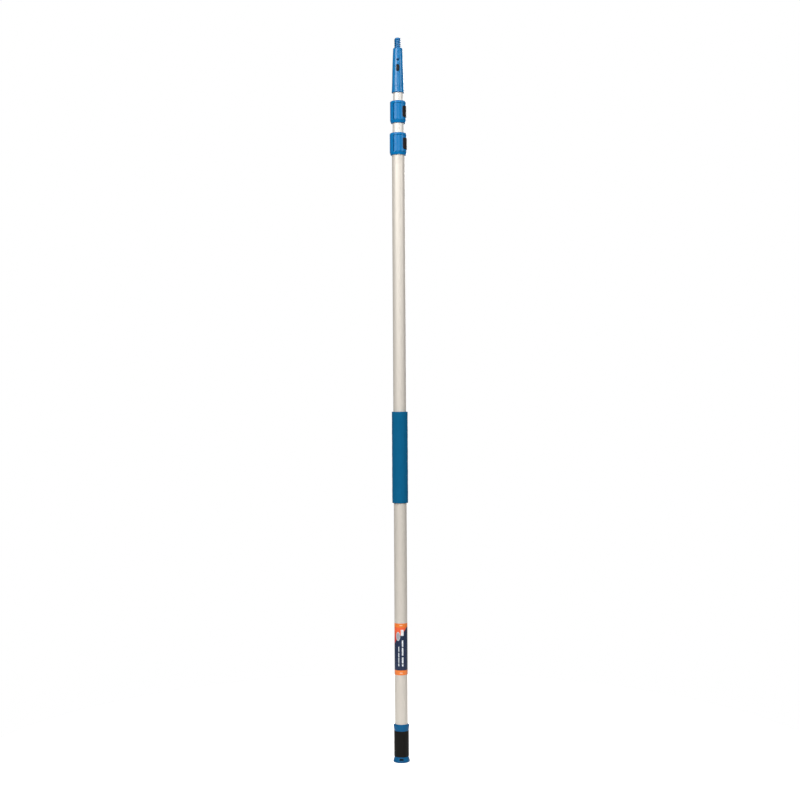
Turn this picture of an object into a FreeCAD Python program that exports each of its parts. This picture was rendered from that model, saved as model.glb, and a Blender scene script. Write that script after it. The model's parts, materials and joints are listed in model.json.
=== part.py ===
"""Three-section telescopic cleaning pole with lever clamps and a threaded locking cone, collapsed.

+Z runs up the pole, the origin is the centre of the end cap's bottom face, and -Y is the front.
Every size is a named cell of the sheet "Sizes", in millimetres or degrees.
"""
import FreeCAD, Part
import math
import os
import re

import Sketcher

DOC = FreeCAD.newDocument("cleaning_pole")
SHEET = DOC.addObject("Spreadsheet::Sheet", "Sizes")
Vector = FreeCAD.Vector
Rotation = FreeCAD.Rotation
# the spring's wire is swept half a turn at a time, so its ends meet exactly
TURNS_PER_SWEEP = 0.5

SIZES = {
    # tubes
    "outer_tube_radius": 18.0,
    "middle_tube_gap": 1.05,
    "inner_tube_gap": 0.8,
    "tube_wall": 1.2,
    "outer_tube_length": 1715.0,
    "middle_tube_reach": 90.0,
    "inner_tube_reach": 109.0,
    # fits
    "fit_gap": 0.02,
    "slide_gap": 0.08,
    "glue_gap": 0.05,
    "loose_gap": 0.3,
    "rest_gap": 0.5,
    # how far shapes that are joined or cut away run past each other
    "join_overlap": 1.0,
    "cutter_reach": 5.0,
    # end cap
    "cap_overhang": 5.25,
    "cap_height": 16.0,
    "cap_rim_height": 3.6,
    "cap_neck_overhang": 1.5,
    "cap_edge_radius": 2.2,
    "cap_spigot_length": 40.0,
    "cap_spigot_wall": 4.6,
    "cap_floor": 20.0,
    "hang_slot_width": 13.0,
    "hang_slot_height": 6.4,
    "hang_slot_place": 8.6,
    "cap_rivet_radius": 1.6,
    "cap_rivet_length": 5.0,
    "cap_rivet_sink": 0.2,
    "cap_rivet_place": 20.0,
    # grips, ring and label on the outer tube
    "rubber_grip_length": 72.0,
    "rubber_grip_wall": 3.0,
    "grip_edge_radius": 0.8,
    "ring_height": 19.0,
    "ring_rim_height": 15.5,
    "ring_rim_wall": 4.5,
    "ring_low_wall": 2.5,
    "label_place": 246.0,
    "label_length": 145.0,
    "label_thickness": 0.3,
    "foam_place": 729.0,
    "foam_length": 257.0,
    "foam_wall": 4.5,
    "foam_edge_radius": 1.6,
    # clamp collars
    "lower_collar_wall": 6.0,
    "upper_collar_wall": 6.8,
    "collar_height": 62.0,
    "collar_socket_depth": 22.0,
    "collar_taper_height": 7.0,
    "collar_taper": 2.4,
    "collar_top_radius": 4.0,
    "collar_foot_radius": 1.0,
    "bush_height": 9.0,
    "bush_wall": 1.75,
    "bush_chamfer": 0.6,
    "hinge_turn": -118.0,
    # levers
    "lever_thickness": 3.2,
    "lever_foot": 8.5,
    "lever_height": 45.0,
    "lever_angle": 134.0,
    "lever_corner_radius": 5.0,
    "lever_groove": 0.9,
    "knuckle_radius": 2.6,
    "knuckle_swing_radius": 4.1,
    "scoop_angle": 20.0,
    "scoop_overlap_angle": 5.0,
    "scoop_height": 27.0,
    "cam_radius": 3.0,
    "cam_throw": 0.6,
    "cam_gap": 0.1,
    "pin_radius": 1.5,
    "pin_hold": 3.5,
    "pin_end_gap": 0.2,
    "pin_chamfer": 0.3,
    "pad_angle": 66.0,
    "pad_margin_angle": 7.0,
    "pad_height": 33.0,
    "pad_sink": 1.3,
    "pad_stand": 0.7,
    "pad_corner_radius": 6.0,
    "pad_edge_radius": 0.7,
    # brake shoes
    "shoe_half_angle": 28.0,
    "shoe_side_angle": 1.5,
    "shoe_place": 25.3,
    "shoe_height": 17.7,
    "shoe_travel": 0.25,
    # collar screws
    "screw_place": 11.0,
    "screw_radius": 1.5,
    "screw_head_radius": 3.0,
    "screw_head_height": 2.0,
    "screw_head_sink": 0.4,
    "first_screw_angle": 172.0,
    "second_screw_angle": 244.0,
    # guide sleeves
    "guide_length": 70.0,
    "guide_lip": 3.0,
    "guide_lip_wall": 4.0,
    # locking cone
    "cone_length": 125.0,
    "cone_socket_depth": 45.0,
    "cone_base_wall": 4.0,
    "cone_base_chamfer": 0.6,
    "cone_flare_wall": 2.95,
    "cone_flare_place": 20.0,
    "cone_waist_wall": 2.0,
    "cone_waist_place": 57.0,
    "cone_top_radius": 13.6,
    "cone_top_edge": 1.2,
    "cavity_radius": 10.5,
    "cavity_height": 37.0,
    "flats_count": 8.0,
    "flats_height": 50.0,
    "flats_top_radius": 13.0,
    "flats_low_depth": 0.4,
    "lock_hole_radius": 3.6,
    "lock_hole_place": 91.0,
    "lock_hole_floor": 3.0,
    "plate_width": 19.0,
    "plate_foot": 17.0,
    "plate_height": 35.0,
    "plate_rise": 1.3,
    "cone_rivet_place": 24.0,
    "cone_rivet_radius": 1.6,
    "cone_rivet_head_radius": 2.9,
    "cone_rivet_head_height": 0.9,
    "cone_rivet_angle": 60.0,
    "rivet_tail": 0.6,
    # threaded tip
    "thread_radius": 9.525,
    "thread_pitch": 5.08,
    "thread_depth": 2.6,
    "thread_cutter_reach": 0.4,
    "thread_root_flat": 1.9,
    "thread_flank_angle": 14.5,
    "thread_length": 26.0,
    "thread_start": 2.2,
    "nose_height": 4.0,
    "nose_radius": 6.6,
    # lock button
    "button_place": 68.0,
    "button_width": 9.1,
    "button_height": 19.6,
    "button_gap": 0.2,
    "button_stand": 0.8,
    "button_edge_radius": 1.4,
    "button_flange_margin": 2.0,
    "button_flange_thickness": 2.0,
    "button_flange_place": 8.1,
    "spring_radius": 3.5,
    "spring_wire_radius": 0.4,
    "spring_turns": 6.0,
    "spring_rear": 9.3,
}

# Radii that follow the tubes, as formulas on the sizes.
OUTER_RADIUS = "outer_tube_radius"
MIDDLE_RADIUS = f"({OUTER_RADIUS} - tube_wall - middle_tube_gap)"
INNER_RADIUS = f"({MIDDLE_RADIUS} - tube_wall - inner_tube_gap)"
CAP_RADIUS = f"({OUTER_RADIUS} + cap_overhang)"
CONE_BASE_RADIUS = f"({INNER_RADIUS} + cone_base_wall)"
CONE_FLARE_RADIUS = f"({INNER_RADIUS} + cone_flare_wall)"
CONE_WAIST_RADIUS = f"({INNER_RADIUS} + cone_waist_wall)"

# Places up the pole, as formulas on the sizes.
OUTER_BOTTOM = "cap_height"
OUTER_TOP = f"({OUTER_BOTTOM} + outer_tube_length)"
SPIGOT_TOP = f"({OUTER_BOTTOM} + cap_spigot_length)"
MIDDLE_GUIDE_BOTTOM = f"({SPIGOT_TOP} + rest_gap)"
MIDDLE_BOTTOM = f"({MIDDLE_GUIDE_BOTTOM} + guide_lip)"
MIDDLE_TOP = f"({OUTER_TOP} + middle_tube_reach)"
INNER_GUIDE_BOTTOM = f"({MIDDLE_BOTTOM} + rest_gap)"
INNER_BOTTOM = f"({INNER_GUIDE_BOTTOM} + guide_lip)"
INNER_TOP = f"({MIDDLE_TOP} + inner_tube_reach)"
LOWER_COLLAR = f"({OUTER_TOP} - collar_socket_depth)"
UPPER_COLLAR = f"({MIDDLE_TOP} - collar_socket_depth)"
CONE = f"({INNER_TOP} - cone_socket_depth)"

sub_parts = []


def cells(formula):
    """The formula with each size's name turned into its cell in the sheet."""
    return re.sub(r"[a-z_]+", lambda word: f"Sizes.{word[0]}" if word[0] in SIZES else word[0], formula)


def number(formula):
    """What a formula comes to now."""
    gauge.setExpression("Reading", cells(formula))
    gauge.recompute()
    if "Invalid" in gauge.State:
        raise RuntimeError(f"not a formula: {formula}")
    return gauge.Reading


def arc_turn(length, radius):
    """The turn in degrees that a short length takes on a circle."""
    return f"(asin(({length}) / ({radius})) / 1 deg)"


def bind(thing, **formulas):
    for name, formula in formulas.items():
        thing.setExpression(name, cells(formula))


def place(thing, x="0", y="0", z="0", turn=None, axis=Vector(0, 0, 1)):
    """Bind the placement: a turn about the axis through the local origin, then a move."""
    if turn is not None:
        thing.Placement = FreeCAD.Placement(Vector(), Rotation(axis, number(turn) or 1e-9))
        thing.setExpression("Placement.Rotation.Angle", cells(turn))
    for side, formula in (("x", x), ("y", y), ("z", z)):
        if formula != "0":
            thing.setExpression(f"Placement.Base.{side}", cells(formula))
    return thing


def keep(thing, label):
    """Count the object as a sub-part, under the name of its file."""
    thing.Label = label
    sub_parts.append(thing)
    return thing


def cylinder(name, radius, height, angle=None):
    thing = DOC.addObject("Part::Cylinder", name)
    bind(thing, Radius=radius, Height=height)
    if angle is not None:
        bind(thing, Angle=angle)
    return thing


def box(name, length, width, height):
    thing = DOC.addObject("Part::Box", name)
    bind(thing, Length=length, Width=width, Height=height)
    return thing


def cut(name, base, *tools):
    thing = DOC.addObject("Part::Cut", name)
    thing.Base = base
    thing.Tool = tools[0] if len(tools) == 1 else fuse(f"{name}_tools", *tools)
    return thing


def fuse(name, *shapes):
    if len(shapes) > 2:
        thing = DOC.addObject("Part::MultiFuse", name)
        thing.Shapes = list(shapes)
        return thing
    thing = DOC.addObject("Part::Fuse", name)
    thing.Base, thing.Tool = shapes
    return thing


def common(name, *shapes):
    thing = DOC.addObject("Part::MultiCommon", name)
    thing.Shapes = list(shapes)
    return thing


def group(name, *shapes):
    thing = DOC.addObject("Part::Compound", name)
    thing.Links = list(shapes)
    return thing


def radial(name, radius, start, length, turn, z):
    """A cylinder that points outwards from the pole's axis, at one turn and height."""
    rod = cylinder(f"{name}_rod", radius, length)
    rod.Placement = FreeCAD.Placement(Vector(), Rotation(Vector(0, 1, 0), 90))
    place(rod, x=start)
    return place(group(name, rod), z=z, turn=turn)


def sector(name, inside, outside, z, height, start, sweep):
    """A piece of a ring between two radii, over an angle."""
    z, start = f"({z})", f"({start})"
    disc = place(cylinder(f"{name}_disc", outside, height, sweep), z=z, turn=start)
    core = place(cylinder(f"{name}_core", inside, f"{height} + 2 * cutter_reach"), z=f"{z} - cutter_reach",
                 turn=start)
    return cut(name, disc, core)


def rounded(name, base, radius, wanted):
    """Fillet the edges that a test picks."""
    DOC.recompute()
    thing = DOC.addObject("Part::Fillet", name)
    thing.Base = base
    size = number(radius)
    picked = [i for i, edge in enumerate(base.Shape.Edges, start=1) if wanted(edge)]
    if not picked:
        raise RuntimeError(f"{name}: no edge to round")
    thing.Edges = [(i, size, size) for i in picked]
    return thing


def origin_plane(body, role):
    return next(item for item in body.Origin.OriginFeatures if item.Role == role)


def sketch_on(body, role):
    sketch = body.newObject("Sketcher::SketchObject", f"{body.Name}_sketch")
    sketch.AttachmentSupport = [(origin_plane(body, role), "")]
    sketch.MapMode = "FlatFace"
    return sketch


def outline(sketch, points):
    """A closed outline with both coordinates of each corner bound to a formula."""
    count = len(points)
    ring = [Vector(math.cos(2 * math.pi * i / count), math.sin(2 * math.pi * i / count)) for i in range(count)]
    for i in range(count):
        sketch.addGeometry(Part.LineSegment(ring[i], ring[(i + 1) % count]), False)
    for i in range(count):
        sketch.addConstraint(Sketcher.Constraint("Coincident", i, 2, (i + 1) % count, 1))
    for i, (across, up) in enumerate(points):
        for kind, formula in (("DistanceX", across), ("DistanceY", up)):
            start = number(formula)
            index = sketch.addConstraint(Sketcher.Constraint(kind, -1, 1, i, 1, start))
            sketch.setExpression(f"Constraints[{index}]", cells(formula))


def revolved(name, points):
    """A body turned about the pole's axis from an outline of (radius, height) corners."""
    body = DOC.addObject("PartDesign::Body", name)
    sketch = sketch_on(body, "XZ_Plane")
    outline(sketch, points)
    turned = body.newObject("PartDesign::Revolution", f"{name}_revolution")
    turned.Profile = sketch
    turned.ReferenceAxis = (sketch, ["V_Axis"])
    turned.Angle = 360
    sketch.Visibility = False
    body.Tip = turned
    return body


def padded_up(name, length, *radii):
    """A rod padded up from one circle about the pole's axis, or a ring from two."""
    body = DOC.addObject("PartDesign::Body", name)
    sketch = sketch_on(body, "XY_Plane")
    for radius in radii:
        size = number(radius)
        circle = sketch.addGeometry(Part.Circle(Vector(), Vector(0, 0, 1), size), False)
        sketch.addConstraint(Sketcher.Constraint("Coincident", circle, 3, -1, 1))
        index = sketch.addConstraint(Sketcher.Constraint("Radius", circle, size))
        sketch.setExpression(f"Constraints[{index}]", cells(radius))
    pad = body.newObject("PartDesign::Pad", f"{name}_pad")
    pad.Profile = sketch
    bind(pad, Length=length)
    body.Tip = pad
    return body


def circle_at(radius, height, slack=0.01):
    """A test for the circular edge about Z of one radius, at one height."""
    size = number(radius)
    level = number(height)

    def wanted(edge):
        curve = edge.Curve
        if not isinstance(curve, Part.Circle) or abs(curve.Radius - size) > slack:
            return False
        return abs(edge.BoundBox.ZMax - level) < slack and edge.BoundBox.ZLength < slack

    return wanted


def dress(body, kind, size, *wanted):
    """Fillet or chamfer a body's edges."""
    DOC.recompute()
    tip = body.Tip
    names = [
        f"Edge{i}" for i, edge in enumerate(tip.Shape.Edges, start=1) if any(test(edge) for test in wanted)
    ]
    if not names:
        raise RuntimeError(f"{body.Name}: no edge to dress")
    feature = body.newObject(f"PartDesign::{kind}", f"{body.Name}_{kind.lower()}{len(body.Group)}")
    feature.Base = (tip, names)
    bind(feature, **{"Radius" if kind == "Fillet" else "Size": size})
    body.Tip = feature
    return body


def lies_along_radius(edge):
    """A short straight edge square to the pole, as at the end of a wrapped panel."""
    if not isinstance(edge.Curve, Part.Line) or edge.BoundBox.ZLength > 0.001:
        return False
    middle = edge.CenterOfMass
    along = edge.Curve.Direction
    return abs(along.x * middle.x + along.y * middle.y) > 0.999 * math.hypot(middle.x, middle.y)


def beyond(turn, test):
    """The test, kept to edges whose middle is past one turn about the pole's axis."""
    least = number(turn)

    def wanted(edge):
        middle = edge.CenterOfMass
        return math.degrees(math.atan2(middle.y, middle.x)) > least and test(edge)

    return wanted


# --- End cap -----------------------------------------------------------------------------------


def slot_prism(name, width, height, length):
    """A prism along +Y with round ends: width across X, height up Z, centred on both."""
    width, height = f"({width})", f"({height})"
    if number(width) > number(height):
        flat = place(box(f"{name}_flat", f"{width} - {height}", length, height),
                     x=f"({height} - {width}) / 2", z=f"-{height} / 2")
        offsets = [("x", f"({width} - {height}) / 2"), ("x", f"({height} - {width}) / 2")]
        round_radius = f"{height} / 2"
    else:
        flat = place(box(f"{name}_flat", width, length, f"{height} - {width}"),
                     x=f"-{width} / 2", z=f"({width} - {height}) / 2")
        offsets = [("z", f"({height} - {width}) / 2"), ("z", f"({width} - {height}) / 2")]
        round_radius = f"{width} / 2"
    ends = []
    for i, (side, offset) in enumerate(offsets, start=1):
        end = cylinder(f"{name}_end{i}", round_radius, length)
        end.Placement = FreeCAD.Placement(Vector(), Rotation(Vector(1, 0, 0), -90))
        ends.append(place(end, **{side: offset}))
    return fuse(name, flat, *ends)


def end_cap():
    spigot = f"({OUTER_RADIUS} - tube_wall - fit_gap)"
    body = revolved("end_cap_body", [
        ("0", "0"),
        (CAP_RADIUS, "0"),
        (CAP_RADIUS, "cap_rim_height"),
        (f"{OUTER_RADIUS} + cap_neck_overhang", "cap_height"),
        (spigot, "cap_height"),
        (spigot, SPIGOT_TOP),
        (f"{spigot} - cap_spigot_wall", SPIGOT_TOP),
        (f"{spigot} - cap_spigot_wall", "cap_floor"),
        ("0", "cap_floor"),
    ])
    dress(body, "Fillet", "cap_edge_radius", circle_at(CAP_RADIUS, "0"))
    dress(body, "Fillet", "grip_edge_radius", circle_at(CAP_RADIUS, "cap_rim_height"))
    slot = place(slot_prism("hang_slot", "hang_slot_width", "hang_slot_height",
                            f"2 * ({CAP_RADIUS} + cutter_reach)"),
                 y=f"-({CAP_RADIUS} + cutter_reach)", z="hang_slot_place")
    holes = rivet_rods("cap_rivet_hole", "cap_rivet_radius + fit_gap")
    keep(cut("end_cap_cut", body, slot, *holes), "end_cap")
    keep(group("end_cap_rivet_pair", *rivet_rods("cap_rivet", "cap_rivet_radius")), "end_cap_rivets")


def rivet_rods(name, radius):
    """The two rods through the outer tube's wall into the end cap, at its left and right."""
    start = f"{OUTER_RADIUS} - cap_rivet_length - cap_rivet_sink"
    z = f"{OUTER_BOTTOM} + cap_rivet_place"
    return [radial(f"{name}{i}", radius, start, "cap_rivet_length", turn, z)
            for i, turn in enumerate(("0", "180"), start=1)]


# --- Outer tube and what is on it --------------------------------------------------------------


def outer_tube():
    tube = place(padded_up("outer_tube_body", "outer_tube_length", OUTER_RADIUS, f"{OUTER_RADIUS} - tube_wall"),
                 z=OUTER_BOTTOM)
    holes = rivet_rods("tube_rivet_hole", "cap_rivet_radius + fit_gap")
    screws = screw_holes("outer_tube_screw", LOWER_COLLAR)
    keep(cut("outer_tube_cut", tube, *holes, *screws), "outer_tube")


def sleeves():
    bore = f"{OUTER_RADIUS} + glue_gap"
    grip_radius = f"{OUTER_RADIUS} + rubber_grip_wall"
    grip = padded_up("rubber_grip_body", "rubber_grip_length", grip_radius, bore)
    dress(grip, "Fillet", "grip_edge_radius", circle_at(grip_radius, "0"),
          circle_at(grip_radius, "rubber_grip_length"))
    keep(place(grip, z=OUTER_BOTTOM), "rubber_grip")

    rim_radius = f"{OUTER_RADIUS} + ring_rim_wall"
    band = revolved("grip_ring_body", [
        (bore, "0"),
        (f"{OUTER_RADIUS} + ring_low_wall", "0"),
        (rim_radius, "ring_rim_height"),
        (bore, "ring_height"),
    ])
    dress(band, "Fillet", "grip_edge_radius", circle_at(rim_radius, "ring_rim_height"))
    keep(place(band, z=f"{OUTER_BOTTOM} + rubber_grip_length"), "grip_ring")

    label = padded_up("label_sleeve_body", "label_length", f"{bore} + label_thickness", bore)
    keep(place(label, z="label_place"), "label_sleeve")

    foam_radius = f"{OUTER_RADIUS} + foam_wall"
    foam = padded_up("foam_grip_body", "foam_length", foam_radius, f"{OUTER_RADIUS} + loose_gap / 2")
    dress(foam, "Fillet", "foam_edge_radius", circle_at(foam_radius, "0"), circle_at(foam_radius, "foam_length"))
    keep(place(foam, z="foam_place"), "foam_grip")


# --- Clamp collars -----------------------------------------------------------------------------
# Each collar is built with its foot at height 0 and its hinge on +X, then turned and raised.


def screw_holes(name, collar_foot):
    """Holes through a tube's wall for its collar's two screws."""
    return [
        radial(f"{name}{i}", "screw_radius + fit_gap", f"{INNER_RADIUS} / 2", OUTER_RADIUS,
               f"hinge_turn + {angle}", f"{collar_foot} + screw_place")
        for i, angle in enumerate(("first_screw_angle", "second_screw_angle"), start=1)
    ]


class Collar:
    """One clamp, made round the radii of the tube it is fixed to and the tube it brakes."""

    def __init__(self, side, fixed, sliding, foot):
        self.side = side
        self.foot = foot
        self.fixed = fixed
        self.sliding = sliding
        self.outside = f"({fixed} + {side}_collar_wall)"
        self.hinge = f"({self.outside} - knuckle_radius)"
        self.shell = f"({self.outside} - lever_thickness)"
        self.shoe_outside = f"({self.hinge} - cam_radius - cam_throw - cam_gap)"
        self.shoe_inside = f"({self.sliding} + slide_gap)"
        self.bush_outside = f"({self.sliding} + slide_gap + bush_wall)"

    def name(self, word):
        return f"{self.side}_{word}"

    def keep(self, thing, label):
        """Turn a finished piece to its hinge's side, raise it to the collar and count it."""
        wrap = group(self.name(f"{label}_placed"), thing)
        keep(place(wrap, z=self.foot, turn="hinge_turn"), self.name(label))

    def about_hinge(self, word, radius, height, z):
        return place(cylinder(self.name(word), radius, height), x=self.hinge, z=z)

    def panel(self, word, inside, outside, start, sweep, z, height, corner, far_only=True):
        """A wrapped panel with its corners rounded, at its free end or at both ends."""
        start, sweep = f"({start})", f"({sweep})"
        blank = sector(self.name(f"{word}_blank"), inside, outside, z, height, start, sweep)
        pick = beyond(f"{start} + {sweep} / 2", lies_along_radius) if far_only else lies_along_radius
        return rounded(self.name(word), blank, corner, pick)

    def screw_rods(self, word, radius, start, length):
        return [
            radial(self.name(f"{word}{i}"), radius, start, length, angle, "screw_place")
            for i, angle in enumerate(("first_screw_angle", "second_screw_angle"), start=1)
        ]

    def body(self):
        socket = f"{self.fixed} + fit_gap"
        passage = f"{self.sliding} + loose_gap"
        bush_seat = f"{self.bush_outside} + fit_gap"
        turned = revolved(self.name("collar_body"), [
            (socket, "0"),
            (f"{self.outside} - collar_taper", "0"),
            (self.outside, "collar_taper_height"),
            (self.outside, "collar_height"),
            (bush_seat, "collar_height"),
            (bush_seat, "collar_height - bush_height"),
            (passage, "collar_height - bush_height"),
            (passage, "collar_socket_depth"),
            (socket, "collar_socket_depth"),
        ])
        dress(turned, "Fillet", "collar_top_radius", circle_at(self.outside, "collar_height"))
        dress(turned, "Fillet", "collar_foot_radius", circle_at(f"{self.outside} - collar_taper", "0"))

        floor = f"{self.shell} - loose_gap"
        beyond_skin = f"{self.outside} + cutter_reach"
        swing = arc_turn("knuckle_swing_radius", self.hinge)
        groove_turn = arc_turn("lever_groove", self.outside)
        recess = self.panel(
            "lever_recess", floor, beyond_skin, f"-{swing}", f"{swing} + lever_angle + {groove_turn}",
            "lever_foot - lever_groove", "lever_height + 2 * lever_groove", "lever_corner_radius + lever_groove")
        scoop = sector(
            self.name("finger_scoop"), floor, beyond_skin, "lever_foot + (lever_height - scoop_height) / 2",
            "scoop_height", "lever_angle - scoop_overlap_angle", "scoop_angle + scoop_overlap_angle")
        pocket = self.about_hinge("knuckle_pocket", "knuckle_radius + loose_gap",
                                  "lever_height + 2 * lever_groove", "lever_foot - lever_groove")
        cam_pocket = self.about_hinge("cam_pocket", "cam_radius + cam_throw + loose_gap / 2",
                                      "shoe_height + 2 * loose_gap", "shoe_place - loose_gap")
        window = sector(
            self.name("shoe_window"), f"{self.sliding} - cutter_reach",
            f"{self.shoe_outside} + shoe_travel + cam_gap", "shoe_place - loose_gap",
            "shoe_height + 2 * loose_gap", "-shoe_half_angle - shoe_side_angle",
            "2 * (shoe_half_angle + shoe_side_angle)")
        bore = self.about_hinge("pin_bore", "pin_radius + fit_gap", "lever_height + 2 * (pin_hold + pin_end_gap)",
                                "lever_foot - pin_hold - pin_end_gap")
        head_seat = f"{self.outside} - screw_head_height - screw_head_sink"
        screw_holes_here = self.screw_rods("screw_hole", "screw_radius + fit_gap", self.fixed, "2 * cutter_reach")
        head_holes = self.screw_rods("screw_head_hole", "screw_head_radius + loose_gap", head_seat, "2 * cutter_reach")
        self.keep(cut(self.name("collar_cut"), turned, recess, scoop, pocket, cam_pocket, window, bore,
                      *screw_holes_here, *head_holes), "collar")

    def screws(self):
        tip = f"({self.fixed} - tube_wall / 2)"
        head_seat = f"({self.outside} - screw_head_height - screw_head_sink)"
        shanks = self.screw_rods("screw_shank", "screw_radius", tip, f"{head_seat} - {tip} + screw_head_height / 2")
        heads = self.screw_rods("screw_head", "screw_head_radius", head_seat, "screw_head_height")
        screws = [fuse(self.name(f"screw{i}"), *pair) for i, pair in enumerate(zip(shanks, heads), start=1)]
        self.keep(group(self.name("screws_pair"), *screws), "collar_screws")

    def bush(self):
        turned = padded_up(self.name("bush_body"), "bush_height", self.bush_outside, self.shoe_inside)
        dress(turned, "Chamfer", "bush_chamfer", circle_at(self.shoe_inside, "bush_height"))
        self.keep(place(turned, z="collar_height - bush_height"), "slide_bush")

    def shoe(self):
        self.keep(sector(self.name("shoe_body"), self.shoe_inside, self.shoe_outside, "shoe_place",
                         "shoe_height", "-shoe_half_angle", "2 * shoe_half_angle"), "brake_shoe")

    def lever(self):
        shell = self.panel("lever_shell", self.shell, self.outside, "0", "lever_angle", "lever_foot",
                           "lever_height", "lever_corner_radius")
        knuckle = self.about_hinge("lever_knuckle", "knuckle_radius", "lever_height", "lever_foot")
        cam = place(cylinder(self.name("lever_cam"), "cam_radius", "shoe_height"),
                    x=f"{self.hinge} - cam_throw", z="shoe_place")
        bore = self.about_hinge("lever_bore", "pin_radius + slide_gap / 2", "lever_height + 2 * cutter_reach",
                                "lever_foot - cutter_reach")
        seat = self.pad_panel("pad_seat", "glue_gap")
        self.keep(cut(self.name("lever_cut"), fuse(self.name("lever_solid"), shell, knuckle, cam),
                      bore, seat), "lever")

    def pad_panel(self, word, margin):
        """The thumb pad's block, or its seat when a margin is given."""
        grow = arc_turn(margin, self.outside)
        return self.panel(
            word, f"{self.outside} - pad_sink - {margin}", f"{self.outside} + pad_stand + 4 * {margin}",
            f"lever_angle - pad_margin_angle - pad_angle - {grow}", f"pad_angle + 2 * {grow}",
            f"lever_foot + (lever_height - pad_height) / 2 - {margin}", f"pad_height + 2 * {margin}",
            f"pad_corner_radius + {margin}", far_only=False)

    def pad(self):
        block = self.pad_panel("pad_block", "0")
        DOC.recompute()
        skin = number(f"{self.outside} + pad_stand")

        def on_skin(edge):
            if edge.BoundBox.ZLength < 0.001 and not isinstance(edge.Curve, Part.Circle):
                return False
            ends = [math.hypot(point.Point.x, point.Point.y) for point in edge.Vertexes]
            return all(abs(reach - skin) < 0.001 for reach in ends)

        self.keep(rounded(self.name("pad_rounded"), block, "pad_edge_radius", on_skin), "thumb_pad")

    def pin(self):
        length = "lever_height + 2 * pin_hold"
        body = padded_up(self.name("pin_rod"), length, "pin_radius")
        dress(body, "Chamfer", "pin_chamfer", circle_at("pin_radius", "0"), circle_at("pin_radius", length))
        self.keep(place(body, x=self.hinge, z="lever_foot - pin_hold"), "hinge_pin")

    def build(self):
        self.body()
        self.screws()
        self.bush()
        self.shoe()
        self.lever()
        self.pad()
        self.pin()


# --- Sliding sections --------------------------------------------------------------------------


def guide(name, carrier, carried, foot):
    """A sleeve round a tube's bottom end, with a lip that the tube's end stands on."""
    outside = f"({carrier} - tube_wall - slide_gap)"
    bore = f"({carried} + fit_gap)"
    lip = f"({carried} - guide_lip_wall)"
    body = revolved(f"{name}_body", [
        (lip, "0"),
        (outside, "0"),
        (outside, "guide_length"),
        (bore, "guide_length"),
        (bore, "guide_lip - fit_gap"),
        (lip, "guide_lip - fit_gap"),
    ])
    keep(place(body, z=foot), name)


def middle_section():
    tube = place(padded_up("middle_tube_body", f"{MIDDLE_TOP} - {MIDDLE_BOTTOM}", MIDDLE_RADIUS,
                           f"{MIDDLE_RADIUS} - tube_wall"), z=MIDDLE_BOTTOM)
    keep(cut("middle_tube_cut", tube, *screw_holes("middle_tube_screw", UPPER_COLLAR)), "middle_tube")
    guide("middle_guide", OUTER_RADIUS, MIDDLE_RADIUS, MIDDLE_GUIDE_BOTTOM)


def cone_rivet_rods(name, radius, start, length):
    return [
        radial(f"{name}{i}", radius, start, length, turn, f"{CONE} + cone_rivet_place")
        for i, turn in enumerate(("cone_rivet_angle", "180 - cone_rivet_angle"), start=1)
    ]


def inner_section():
    tube = place(padded_up("inner_tube_body", f"{INNER_TOP} - {INNER_BOTTOM}", INNER_RADIUS,
                           f"{INNER_RADIUS} - tube_wall"), z=INNER_BOTTOM)
    holes = cone_rivet_rods("inner_tube_hole", "cone_rivet_radius + fit_gap", f"{INNER_RADIUS} / 2",
                            CONE_BASE_RADIUS)
    keep(cut("inner_tube_cut", tube, *holes), "inner_tube")
    guide("inner_guide", MIDDLE_RADIUS, INNER_RADIUS, INNER_GUIDE_BOTTOM)


# --- Locking cone ------------------------------------------------------------------------------


def cone_side(rise):
    """The cone's side from foot to top, as outline corners, moved outwards by a rise."""
    return [
        (f"{CONE_BASE_RADIUS} + {rise}", "cone_base_chamfer"),
        (f"{CONE_FLARE_RADIUS} + {rise}", "cone_flare_place"),
        (f"{CONE_WAIST_RADIUS} + {rise}", "cone_waist_place"),
        (f"cone_top_radius + {rise}", "cone_length"),
    ]


def waist_radius_at(height):
    """The cone's radius at a height above its waist."""
    return (f"({CONE_WAIST_RADIUS} - ({CONE_WAIST_RADIUS} - cone_top_radius)"
            f" * ({height} - cone_waist_place) / (cone_length - cone_waist_place))")


def with_flats(solid):
    """The cone with flats round its top, each cut by a leaning block and fading out below."""
    span = f"2 * {CONE_BASE_RADIUS}"
    low = f"({CONE_WAIST_RADIUS} - flats_low_depth)"
    count = round(number("flats_count"))
    for i in range(count):
        block = box(f"flat_block{i}", span, span, "flats_height + 2 * cutter_reach")
        place(block, x=low, y=f"-{CONE_BASE_RADIUS}", z="cone_length - flats_height",
              turn=f"-atan(({low} - flats_top_radius) / flats_height) / 1 deg", axis=Vector(0, 1, 0))
        turned = place(group(f"flat_block_turned{i}", block), turn=f"{i} * 360 / flats_count")
        solid = cut(f"cone_flat{i}", solid, turned)
    return solid


def thumb_plate():
    """The arched plate that stands a little proud of the cone's front."""
    reach = f"{CONE_BASE_RADIUS} + cutter_reach"
    flat = place(box("plate_flat", "plate_width", reach, "plate_height - plate_width / 2"),
                 x="-plate_width / 2", y=f"-({reach})", z="plate_foot")
    arch = cylinder("plate_arch", "plate_width / 2", reach)
    arch.Placement = FreeCAD.Placement(Vector(), Rotation(Vector(1, 0, 0), 90))
    place(arch, z="plate_foot + plate_height - plate_width / 2")
    root = f"{INNER_RADIUS} + join_overlap"
    skin = revolved("plate_skin", [(root, "cone_base_chamfer"), *cone_side("plate_rise")[:3],
                                   (root, "cone_waist_place")])
    return common("plate", skin, fuse("plate_prism", flat, arch))


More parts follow.
